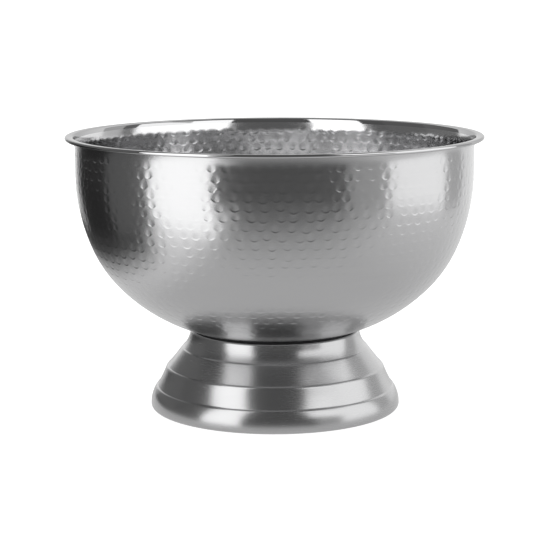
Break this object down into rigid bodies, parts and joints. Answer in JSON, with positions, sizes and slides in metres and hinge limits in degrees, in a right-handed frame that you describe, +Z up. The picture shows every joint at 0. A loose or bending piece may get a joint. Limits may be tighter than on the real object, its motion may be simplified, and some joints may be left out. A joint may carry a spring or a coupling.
{
  "type": "punch bowl",
  "caption": "Wide hammered steel punch bowl with a flared lip, clamped to a stepped hollow pedestal foot by a stud and wing nut.",
  "frame": {"origin": "centre of the circle on which the foot rests, at table height", "axes": "+Z up along the axis of the bowl and foot; +X and +Y are arbitrary directions across the round bowl, with the wings of the wing nut along X at rest"},
  "size_m": [0.3709, 0.371, 0.246],
  "materials": {
    "hammered_steel": "hammered stainless sheet, satin brushed around the axis outside, with a polished plain band and lip inside",
    "foot_steel": "spun stainless sheet, fine satin lines around the axis, not hammered",
    "clamp_hardware": "plain bright stainless fasteners",
    "wing_nut_steel": "cast stainless, slightly grainy, with rounded edges",
    "gasket_rubber": "matt black rubber"
  },
  "bodies": {
    "root": {"bowl_shell": "hammered_steel", "stud_plate": "clamp_hardware", "clamp_stud": "clamp_hardware", "seat_gasket": "gasket_rubber", "pedestal_foot": "foot_steel"},
    "washers": {"clamp_washer": "clamp_hardware", "spring_washer": "clamp_hardware"},
    "wing_nut": {"wing_nut": "wing_nut_steel"}
  },
  "joints": [
    {"name": "nut_travel", "type": "slide", "parent": "root", "child": "washers", "axis": [0, 0, -1], "range_m": [0, 0.0151]},
    {"name": "nut_turn", "type": "hinge", "parent": "washers", "child": "wing_nut", "pos_m": [0, 0, 0.055], "axis": [0, 0, -1], "range_deg": [0, 4320]}
  ],
  "couplings": [
    {"joint": "nut_travel", "follows": "nut_turn", "m_per_rad": 0.00019894}
  ]
}
